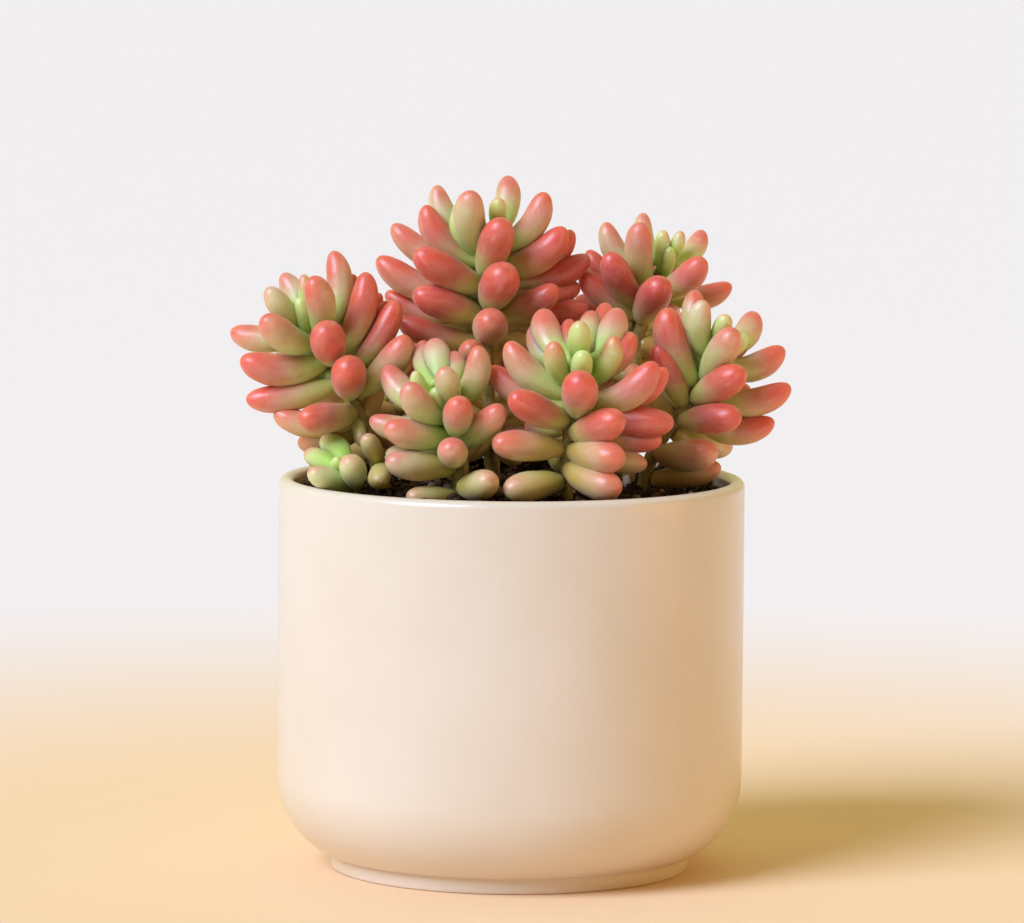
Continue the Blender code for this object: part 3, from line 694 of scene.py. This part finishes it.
class Tree:
    """A short way to add and join shader nodes."""

    def __init__(self, name):
        self.material = bpy.data.materials.new(name)
        self.material.use_nodes = True
        self.tree = self.material.node_tree
        self.shader = self.tree.nodes["Principled BSDF"]

    def put(self, value, socket):
        if isinstance(value, bpy.types.NodeSocket):
            self.tree.links.new(value, socket)
        else:
            socket.default_value = value

    def attribute(self, name):
        node = self.tree.nodes.new("ShaderNodeAttribute")
        node.attribute_name = name
        return node.outputs["Fac"]

    def coordinates(self):
        return self.tree.nodes.new("ShaderNodeTexCoord").outputs["Object"]

    def math(self, operation, a, b):
        node = self.tree.nodes.new("ShaderNodeMath")
        node.operation = operation
        self.put(a, node.inputs[0])
        self.put(b, node.inputs[1])
        return node.outputs[0]

    def plus(self, a, b):
        return self.math("ADD", a, b)

    def minus(self, a, b):
        return self.math("SUBTRACT", a, b)

    def times(self, a, b):
        return self.math("MULTIPLY", a, b)

    def step(self, value, low, high):
        """0 below low, 1 above high, and smooth between. Low may be the greater."""
        node = self.tree.nodes.new("ShaderNodeMapRange")
        node.interpolation_type = "SMOOTHSTEP"
        self.put(value, node.inputs["Value"])
        self.put(low, node.inputs["From Min"])
        self.put(high, node.inputs["From Max"])
        return node.outputs["Result"]

    def noise(self, scale, detail=3.0, roughness=0.5, vector=None):
        node = self.tree.nodes.new("ShaderNodeTexNoise")
        node.inputs["Scale"].default_value = scale
        node.inputs["Detail"].default_value = detail
        node.inputs["Roughness"].default_value = roughness
        self.put(vector or self.coordinates(), node.inputs["Vector"])
        return node.outputs["Fac"]

    def streaks(self):
        """Noise drawn out along a leaf, another on each leaf."""
        spot = self.tree.nodes.new("ShaderNodeCombineXYZ")
        self.put(self.times(self.attribute("upper"), 2.6), spot.inputs["X"])
        self.put(self.times(self.attribute("reach"), 2.2), spot.inputs["Y"])
        self.put(self.times(self.attribute("seed"), 90.0), spot.inputs["Z"])
        return self.noise(1.6, 3, 0.55, spot.outputs["Vector"])

    def cells(self, scale):
        """Distance from the nearest of scattered points."""
        node = self.tree.nodes.new("ShaderNodeTexVoronoi")
        node.inputs["Scale"].default_value = scale
        self.put(self.coordinates(), node.inputs["Vector"])
        return node.outputs["Distance"]

    def mix(self, share, a, b, blend="MIX"):
        node = self.tree.nodes.new("ShaderNodeMix")
        node.data_type = "RGBA"
        node.blend_type = blend
        self.put(share, node.inputs["Factor"])
        self.put(a, node.inputs["A"])
        self.put(b, node.inputs["B"])
        return node.outputs["Result"]

    def ramp(self, value, stops):
        node = self.tree.nodes.new("ShaderNodeValToRGB")
        ramp = node.color_ramp
        while len(ramp.elements) < len(stops):
            ramp.elements.new(0.5)
        for element, (place, colour) in zip(ramp.elements, stops):
            element.position = place
            element.color = colour
        self.put(value, node.inputs["Fac"])
        return node.outputs["Color"]

    def bump(self, height, strength, distance, under=None):
        node = self.tree.nodes.new("ShaderNodeBump")
        node.inputs["Strength"].default_value = strength
        node.inputs["Distance"].default_value = distance
        self.put(height, node.inputs["Height"])
        if under:
            self.put(under, node.inputs["Normal"])
        return node.outputs["Normal"]

    def finish(self, **sockets):
        """Sets the shader's sockets, named with _ for each space."""
        for name, value in sockets.items():
            self.put(value, self.shader.inputs[name.replace("_", " ")])
        return self.material


def shade(red, green, blue):
    """A colour from 0-255 screen values, made linear."""

    def linear(value):
        value /= 255
        return value / 12.92 if value <= 0.04045 else ((value + 0.055) / 1.055) ** 2.4

    return linear(red), linear(green), linear(blue), 1.0


def leaf_look():
    """Green at the root and pink to coral at the tip.

    Blush sets how red the tip is and how far the red reaches, and youth how fresh the green is.
    """
    t = Tree("leaf_skin")
    blush = t.attribute("blush")
    youth = t.attribute("youth")
    seed = t.attribute("seed")
    reach = t.attribute("reach")

    # Colour follows the reach, but in clouds, and further down the upper side.
    cloud = t.times(t.minus(t.noise(170, 2), 0.5), 0.34)
    place = t.plus(reach, cloud)
    place = t.plus(place, t.times(t.attribute("upper"), 0.15))

    # The green, by age. An old leaf without blush is more olive, and a fresh one is lime.
    old = t.mix(t.step(reach, 0.1, 0.9), shade(194, 164, 76), shade(214, 182, 102))
    sage = t.mix(t.step(reach, 0.1, 0.9), shade(186, 210, 112), shade(206, 218, 158))
    lime = t.mix(t.step(reach, 0.1, 0.9), shade(160, 206, 84), shade(196, 218, 126))
    olive = t.mix(t.step(reach, 0.1, 0.9), shade(192, 190, 84), shade(212, 188, 112))
    old = t.mix(t.step(blush, 0.26, 0.08), old, olive)
    green = t.mix(t.step(youth, 0.36, 0.66), old, sage)
    fresh = t.math("MAXIMUM", t.step(youth, 0.6, 1.0), t.step(blush, 0.08, 0.0))
    green = t.mix(t.times(fresh, t.step(youth, 0.0, 0.4)), green, lime)

    # The middle and the tip, by blush.
    middle = t.ramp(
        blush,
        [
            (0.0, shade(190, 212, 130)),
            (0.11, shade(202, 212, 152)),
            (0.22, shade(210, 200, 154)),
            (0.33, shade(208, 180, 138)),
            (0.44, shade(210, 172, 132)),
            (0.56, shade(206, 150, 122)),
            (0.67, shade(204, 128, 108)),
            (0.78, shade(202, 106, 84)),
            (1.0, shade(184, 84, 66)),
        ],
    )
    tip = t.ramp(
        blush,
        [
            (0.0, shade(200, 212, 134)),
            (0.11, shade(218, 168, 130)),
            (0.22, shade(216, 130, 112)),
            (0.33, shade(218, 108, 92)),
            (0.44, shade(222, 100, 78)),
            (0.56, shade(224, 84, 56)),
            (0.67, shade(222, 72, 46)),
            (0.85, shade(216, 62, 38)),
            (1.0, shade(200, 54, 40)),
        ],
    )
    middle = t.mix(t.step(blush, 0.0, 0.22), green, middle)
    middle = t.mix(t.times(t.step(youth, 0.8, 1.0), 0.6), middle, green)
    tip = t.mix(t.step(blush, 0.0, 0.12), green, tip)
    lower = t.minus(0.52, t.times(blush, 0.50))
    colour = t.mix(t.step(place, lower, t.plus(lower, 0.44)), green, middle)
    outer = t.minus(0.74, t.times(blush, 0.32))
    colour = t.mix(t.step(place, outer, t.plus(outer, 0.40)), colour, tip)

    # Old leaves rust towards orange.
    rust = t.times(t.step(youth, 0.52, 0.22), t.step(place, 0.35, 0.9))
    rust = t.times(rust, t.step(blush, 0.05, 0.4))
    colour = t.mix(t.times(rust, 0.6), colour, shade(228, 148, 78))

    # Some reds are warmer and some cooler, from leaf to leaf and in patches.
    hue = t.plus(t.times(seed, 0.5), t.step(t.noise(300, 2), 0.35, 0.65))
    tone = t.mix(t.times(hue, 0.7), shade(236, 150, 86), shade(206, 120, 128))
    toned = t.times(t.step(place, 0.3, 0.9), t.times(blush, 0.24))
    colour = t.mix(toned, colour, tone)

    # Pale and red streaks along the leaf.
    lines = t.streaks()
    pale = t.times(t.step(lines, 0.52, 0.72), t.times(t.step(reach, 0.25, 0.8), 0.16))
    colour = t.mix(pale, colour, shade(250, 222, 198))
    red = t.times(t.step(lines, 0.46, 0.28), t.times(blush, 0.22))
    colour = t.mix(red, colour, shade(176, 70, 56))

    # Mottling, pale bloom, a darker point, and a few flecks.
    mottle = t.times(t.step(t.noise(620, 3, 0.6), 0.45, 0.70), t.times(blush, 0.22))
    colour = t.mix(mottle, colour, shade(190, 62, 50))
    bloom = t.plus(0.02, t.times(t.step(t.noise(240, 2), 0.4, 0.7), 0.06))
    colour = t.mix(bloom, colour, shade(240, 226, 216))
    point = t.times(t.step(reach, 0.985, 1.0), t.step(youth, 0.9, 0.6))
    colour = t.mix(t.times(point, 0.25), colour, shade(160, 58, 48))
    fleck = t.times(t.step(t.cells(520), 0.10, 0.05), t.step(t.noise(90, 1), 0.60, 0.66))
    colour = t.mix(t.times(fleck, 0.45), colour, shade(140, 52, 40))

    return t.finish(
        Base_Color=colour,
        Roughness=t.plus(0.34, t.times(t.noise(400, 2), 0.14)),
        Normal=t.bump(t.noise(1700, 2), 0.10, 0.0003, t.bump(t.noise(330, 2), 0.18, 0.0008)),
        Subsurface_Weight=0.60,
        Subsurface_Scale=0.005,
        Subsurface_Radius=(1.0, 0.80, 0.40),
        Specular_IOR_Level=0.8,
        Sheen_Weight=0.12,
        Sheen_Roughness=0.45,
    )


def stem_look():
    """Olive brown, with a rough grain."""
    t = Tree("stem_bark")
    colour = t.ramp(
        t.noise(500, 4, 0.6),
        [(0.3, shade(104, 88, 42)), (0.55, shade(150, 132, 68)), (0.75, shade(182, 154, 94))],
    )
    normal = t.bump(t.noise(900, 3), 0.5, 0.0005)
    return t.finish(Base_Color=colour, Roughness=0.62, Normal=normal, Specular_IOR_Level=0.35)


def glaze_look():
    """Cream glaze, pooled a shade warmer in broad clouds, with a faint orange-peel surface."""
    t = Tree("cream_glaze")
    clouds = t.noise(28, 3)
    colour = t.mix(t.step(clouds, 0.3, 0.7), shade(222, 208, 188), shade(226, 213, 196))
    colour = t.mix(t.times(t.step(t.noise(2600, 2), 0.55, 0.75), 0.18), colour, shade(212, 193, 166))
    return t.finish(
        Base_Color=colour,
        Roughness=t.plus(0.26, t.times(t.noise(60, 3), 0.10)),
        Normal=t.bump(t.noise(420, 2), 0.05, 0.0006, t.bump(t.noise(36, 2), 0.12, 0.002)),
        Specular_IOR_Level=0.5,
        Coat_Weight=0.35,
        Coat_Roughness=0.12,
    )


def soil_look():
    """Dark crumbs with some paler fibre."""
    t = Tree("potting_soil")
    colour = t.ramp(
        t.noise(700, 6, 0.7),
        [
            (0.25, shade(30, 22, 16)),
            (0.5, shade(58, 42, 30)),
            (0.66, shade(92, 68, 48)),
            (0.8, shade(128, 100, 76)),
        ],
    )
    normal = t.bump(t.noise(1400, 5, 0.7), 0.9, 0.001)
    return t.finish(Base_Color=colour, Roughness=0.94, Normal=normal, Specular_IOR_Level=0.2)


def grit_look():
    """From soil and bark at tone 0 to pale pumice at tone 1, speckled."""
    t = Tree("soil_grit")
    colour = t.ramp(
        t.attribute("tone"),
        [
            (0.0, shade(34, 25, 19)),
            (0.5, shade(74, 54, 38)),
            (0.75, shade(122, 94, 68)),
            (0.88, shade(150, 134, 116)),
            (1.0, shade(206, 200, 188)),
        ],
    )
    speckle = t.ramp(t.noise(1500, 4, 0.7), [(0.3, shade(60, 44, 32)), (0.7, shade(240, 230, 214))])
    colour = t.mix(0.5, colour, speckle, "MULTIPLY")
    normal = t.bump(t.noise(2400, 4, 0.7), 0.7, 0.0005)
    return t.finish(Base_Color=colour, Roughness=0.9, Normal=normal, Specular_IOR_Level=0.25)


def floor_look():
    """Pale, and a little warmer close to the pot."""
    t = Tree("pale_floor")
    away = t.tree.nodes.new("ShaderNodeVectorMath")
    away.operation = "LENGTH"
    t.put(t.coordinates(), away.inputs[0])
    colour = t.mix(t.step(away.outputs["Value"], 0.12, 0.60), shade(247, 214, 176), shade(244, 238, 246))
    return t.finish(Base_Color=colour, Roughness=0.8, Specular_IOR_Level=0.2)


# ---- pot and soil ----

EDGE_CENTRE = (POT_RADIUS - EDGE_RADIUS, EDGE_RADIUS + FOOT_RECESS)
POT_SIDES = 192
INNER_EDGE_STEPS = 14
LIP_STEPS = 14
OUTER_EDGE_STEPS = 26
INNER_WALL_STEPS = 12
OUTER_WALL_STEPS = 20
CREASE_OUT = 0.0003  # the glaze softens the crease between the rounded edge and the foot
CREASE_RISE = 0.0002
CREASE_DROP = 0.0004
FOOT_BEVEL = 0.3  # share of the foot's rounding, at its middle point


def arc(centre, radius, start, end, steps):
    angles = [start + (end - start) * i / steps for i in range(steps + 1)]
    return [(centre[0] + radius * math.cos(a), centre[1] + radius * math.sin(a)) for a in angles]


def straight(start, end, steps):
    """Points between two ends, both left out."""
    shares = [i / steps for i in range(1, steps)]
    return [(start[0] + (end[0] - start[0]) * s, start[1] + (end[1] - start[1]) * s) for s in shares]


def turned_mesh(outline, sides):
    """A closed solid of revolution. The outline starts and ends on the axis."""
    points = [Vector((0, 0, outline[0][1]))]
    rings = []
    for r, z in outline[1:-1]:
        rings.append(len(points))
        turns = [2 * math.pi * k / sides for k in range(sides)]
        points += [Vector((r * math.cos(a), r * math.sin(a), z)) for a in turns]
    points.append(Vector((0, 0, outline[-1][1])))
    end = len(points) - 1
    faces = []
    for k in range(sides):
        n = (k + 1) % sides
        faces.append((0, rings[0] + k, rings[0] + n))
        faces += [(a + k, b + k, b + n, a + n) for a, b in zip(rings, rings[1:])]
        faces.append((rings[-1] + k, end, rings[-1] + n))
    return points, faces, {}


def pot_outline():
    """(radius, height) from the middle of the floor inside, over the lip, to the middle of the underside."""
    lip = WALL / 2
    inner = arc(EDGE_CENTRE, EDGE_RADIUS - WALL, -math.pi / 2, 0, INNER_EDGE_STEPS)
    rim = arc((POT_RADIUS - lip, RIM_HEIGHT - lip), lip, math.pi, 0, LIP_STEPS)
    outer = arc(EDGE_CENTRE, EDGE_RADIUS, 0, -EDGE_SWEEP, OUTER_EDGE_STEPS)
    foot_inside = FOOT_RADIUS - FOOT_WIDTH
    foot = [
        (FOOT_RADIUS + CREASE_OUT, FOOT_HEIGHT + CREASE_RISE),
        (FOOT_RADIUS, FOOT_HEIGHT - CREASE_DROP),
        (FOOT_RADIUS, FOOT_HEIGHT / 2),
        (FOOT_RADIUS, FOOT_ROUND),
        (FOOT_RADIUS - FOOT_ROUND * FOOT_BEVEL, FOOT_ROUND * FOOT_BEVEL),
        (FOOT_RADIUS - FOOT_ROUND, 0),
        (foot_inside, 0),
        (foot_inside - FOOT_ROUND, FOOT_RECESS),
    ]
    wall_in = straight(inner[-1], rim[0], INNER_WALL_STEPS)
    wall_out = straight(rim[-1], outer[0], OUTER_WALL_STEPS)
    return [(0, inner[0][1])] + inner + wall_in + rim + wall_out + outer + foot + [(0, FOOT_RECESS)]


SOIL_GAP = 0.00005  # to the pot's wall
SOIL_RINGS = 60
SOIL_SIDES = 160
SOIL_WAIST = 0.085  # where its side begins to draw in
SOIL_BOTTOM = 0.05  # the pot hides all below
SOIL_DRAW_IN = 0.98
UNSET = 1.0  # the height of a top point until the crumbs set it
CRUMB_HEIGHT = 0.0006
CRUMB_SCALE = 420


def soil_height(x, y):
    """Height of the soil's top, mounded and lumpy, and even along the wall."""
    share = min(1, math.hypot(x, y) / (POT_RADIUS - WALL))
    mound = SOIL_MOUND * (1 - share**2)
    lump = SOIL_LUMPS * noise.noise(Vector((x, y, 0)) * SOIL_LUMP_SCALE) * (1 - share**6)
    return RIM_HEIGHT - SOIL_EDGE + mound + lump


def soil_bed():
    """The soil's body, with a crumbly top."""
    radius = POT_RADIUS - WALL - SOIL_GAP
    top = [(radius * i / SOIL_RINGS, UNSET) for i in range(SOIL_RINGS + 1)]
    below = [(radius, SOIL_WAIST), (radius * SOIL_DRAW_IN, SOIL_BOTTOM), (0, SOIL_BOTTOM)]
    points, faces, values = turned_mesh(top + below, SOIL_SIDES)
    for p in points:
        if p.z == UNSET:
            crumb = noise.fractal(Vector((p.x, p.y, 1)) * CRUMB_SCALE, 1.0, 2.0, 3)
            p.z = soil_height(p.x, p.y) + CRUMB_HEIGHT * crumb
    return points, [tuple(reversed(f)) for f in faces], values


GRAINS = {
    "count": 1500,
    "smallest": 0.0004,
    "largest": 0.0011,
    "tones": (0.1, 0.3, 0.4, 0.5, 0.62, 0.75),
    "seed": 5,
}
PEBBLES = {
    "count": 150,
    "smallest": 0.0008,
    "largest": 0.0019,
    "tones": (0.2, 0.5, 0.7, 0.85, 0.9, 1.0),
    "seed": 8,
}
GRAIN_STRETCH = ((0.7, 1.4), (0.6, 1.1), (0.5, 0.9))
GRAIN_TURN = 6.3
GRAIN_LUMPS = 0.45
GRAIN_LUMP_SCALE = 1.6
GRAIN_LUMP_OFFSET = 99
GRAIN_MARGIN = 0.0018  # kept clear along the wall
GRAIN_STAND = (-0.1, 0.5)  # height of its middle over the soil, in its own size
CLODS = {"count": 130, "seed": 3}
CLOD_BAND = (0.0485, 0.0535)  # from the axis
CLOD_ARC = (20, 150)  # degrees
CLOD_SIZE = (0.0012, 0.0021)
CLOD_HEAP = 0.0028
CLOD_TONES = (0.05, 0.2, 0.3, 0.4)


def chunk(centre, size, rng, tone):
    """A rough grain of grit, bark or pumice."""
    bm = bmesh.new()
    bmesh.ops.create_icosphere(bm, subdivisions=2, radius=1)
    stretch = Vector([rng.uniform(*span) for span in GRAIN_STRETCH])
    turn = Euler([rng.uniform(0, GRAIN_TURN) for _ in range(3)]).to_matrix()
    offset = Vector([rng.uniform(0, GRAIN_LUMP_OFFSET) for _ in range(3)])
    points = []
    for v in bm.verts:
        swell = 1 + GRAIN_LUMPS * noise.noise(v.co * GRAIN_LUMP_SCALE + offset)
        points.append(centre + turn @ (v.co * stretch * swell) * size)
    faces = [tuple(v.index for v in f.verts) for f in bm.faces]
    bm.free()
    return points, faces, {"tone": [tone] * len(points)}


def grit_mesh(count, smallest, largest, tones, seed):
    """Grains scattered evenly on the soil, each sunk a little or standing on it."""
    rng = random.Random(seed)
    parts = []
    for _ in range(count):
        reach = math.sqrt(rng.random()) * (POT_RADIUS - WALL - GRAIN_MARGIN)
        turn = rng.uniform(0, 2 * math.pi)
        x = reach * math.cos(turn)
        y = reach * math.sin(turn)
        size = rng.uniform(smallest, largest)
        centre = Vector((x, y, soil_height(x, y) + size * rng.uniform(*GRAIN_STAND)))
        parts.append(chunk(centre, size, rng, rng.choice(tones)))
    return joined(parts)


def clod_mesh(count, seed):
    """Dark clods heaped along the far wall."""
    rng = random.Random(seed)
    parts = []
    for _ in range(count):
        reach = rng.uniform(*CLOD_BAND)
        turn = math.radians(rng.uniform(*CLOD_ARC))
        x = reach * math.cos(turn)
        y = reach * math.sin(turn)
        size = rng.uniform(*CLOD_SIZE)
        centre = Vector((x, y, soil_height(x, y) + rng.uniform(0.0, CLOD_HEAP)))
        parts.append(chunk(centre, size, rng, rng.choice(CLOD_TONES)))
    return joined(parts)


# ---- assembly ----


def piece(name, made, look, slot, *nodes):
    """A mesh that rides on the plant's one body, in place of these CAD nodes."""
    obj = new_mesh_object(name, *made, look)
    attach(obj, root)
    if nodes:
        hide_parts(*nodes)
    return obj


GROUPS = ("lower_leaves", "middle_leaves", "upper_leaves", "heart")


def build_plant():
    skin = leaf_look()
    bark = stem_look()
    for name, shoot in SHOOTS.items():
        axis = smooth_axis(shoot["axis"])
        piece(f"{name}_stem", stem_mesh(axis), bark, "stem", f"{name}_shoot_stem")
        young, grown = leaves_of(name, axis)
        if len(grown) < FEWEST_IN_WHORLS:
            groups = {"leaves": grown + young}
        else:
            groups = dict(zip(GROUPS, whorls(grown) + [young]))
        for title, group in groups.items():
            slot = "young_leaf" if title == "heart" else "leaf"
            made = joined([leaf_mesh(leaf) for leaf in group])
            piece(f"{name}_{title}", made, skin, slot, f"{name}_shoot_{title}")
        for number, entry in enumerate(shoot["single"], 1):
            made = leaf_mesh(front_leaf(axis, entry, SINGLE_ROOT, 0.0))
            title = f"single_leaf_{number}"
            piece(f"{name}_{title}", made, skin, "old_leaf", f"{name}_shoot_{title}")


def build_pot():
    pot = piece("glazed_pot", turned_mesh(pot_outline(), POT_SIDES), glaze_look(), "glaze", "pot")
    bm = bmesh.new()
    bm.from_mesh(pot.data)
    bmesh.ops.recalc_face_normals(bm, faces=bm.faces)
    bm.to_mesh(pot.data)
    bm.free()


def build_soil():
    piece("soil_bed", soil_bed(), soil_look(), "soil", "soil")
    grit = grit_look()
    piece("soil_grains", grit_mesh(**GRAINS), grit, "soil")
    piece("soil_clods", clod_mesh(**CLODS), grit, "soil")
    piece("soil_pebbles", grit_mesh(**PEBBLES), grit, "soil")


build_plant()
build_pot()
build_soil()

# ---- floor and light ----

FLOOR_RADIUS = 8
FLOOR_SIDES = 96


def build_floor():
    bm = bmesh.new()
    bmesh.ops.create_circle(bm, cap_ends=True, segments=FLOOR_SIDES, radius=FLOOR_RADIUS)
    mesh = bpy.data.meshes.new("floor")
    bm.to_mesh(mesh)
    bm.free()
    mesh.materials.append(floor_look())
    floor = bpy.data.objects.new("floor", mesh)
    bpy.context.scene.collection.objects.link(floor)


def area_light(name, place, target, size, power, colour):
    data = bpy.data.lights.new(name, "AREA")
    data.shape = "RECTANGLE"
    data.size, data.size_y = size
    data.energy = power
    data.color = colour
    lamp = bpy.data.objects.new(name, data)
    bpy.context.scene.collection.objects.link(lamp)
    lamp.location = place
    lamp.rotation_euler = (Vector(target) - Vector(place)).to_track_quat("-Z", "Y").to_euler()


def sun_light(name, toward, strength, colour, spread):
    data = bpy.data.lights.new(name, "SUN")
    data.energy = strength
    data.color = colour
    data.angle = spread
    lamp = bpy.data.objects.new(name, data)
    bpy.context.scene.collection.objects.link(lamp)
    lamp.rotation_euler = Vector(toward).to_track_quat("-Z", "Y").to_euler()


WORLD_BLEND = 0.6  # how far the direction points to front or back where the light is all of one side's
WORLD_IN_FRONT = 0.18
WORLD_BEHIND = 0.74
WORLD_COLOUR = (1, 0.93, 0.47, 1)


def build_world():
    """A bright wall behind the object and a dimmer room in front of it."""
    world = bpy.data.worlds.new("studio")
    world.use_nodes = True
    tree = world.node_tree
    back = tree.nodes["Background"]
    place = tree.nodes.new("ShaderNodeTexCoord")
    split = tree.nodes.new("ShaderNodeSeparateXYZ")
    tree.links.new(place.outputs["Generated"], split.inputs[0])
    ramp = tree.nodes.new("ShaderNodeMapRange")
    ramp.interpolation_type = "SMOOTHSTEP"
    ramp.inputs["From Min"].default_value = -WORLD_BLEND
    ramp.inputs["From Max"].default_value = WORLD_BLEND
    ramp.inputs["To Min"].default_value = WORLD_IN_FRONT
    ramp.inputs["To Max"].default_value = WORLD_BEHIND
    tree.links.new(split.outputs["Y"], ramp.inputs["Value"])
    tree.links.new(ramp.outputs["Result"], back.inputs["Strength"])
    back.inputs["Color"].default_value = WORLD_COLOUR
    bpy.context.scene.world = world


build_floor()
build_world()
sun_light(
    "key",
    toward=(0.64, 0.58, -0.66),
    strength=3.05,
    colour=(0.89, 1.0, 1.30),
    spread=math.radians(34),
)
area_light(
    "warm_fill",
    place=(1.3, -0.35, 0.25),
    target=(0, 0, 0.08),
    size=(0.9, 0.5),
    power=3.7,
    colour=(1.0, 0.40, 0.05),
)
bpy.context.scene.view_settings.view_transform = "Standard"
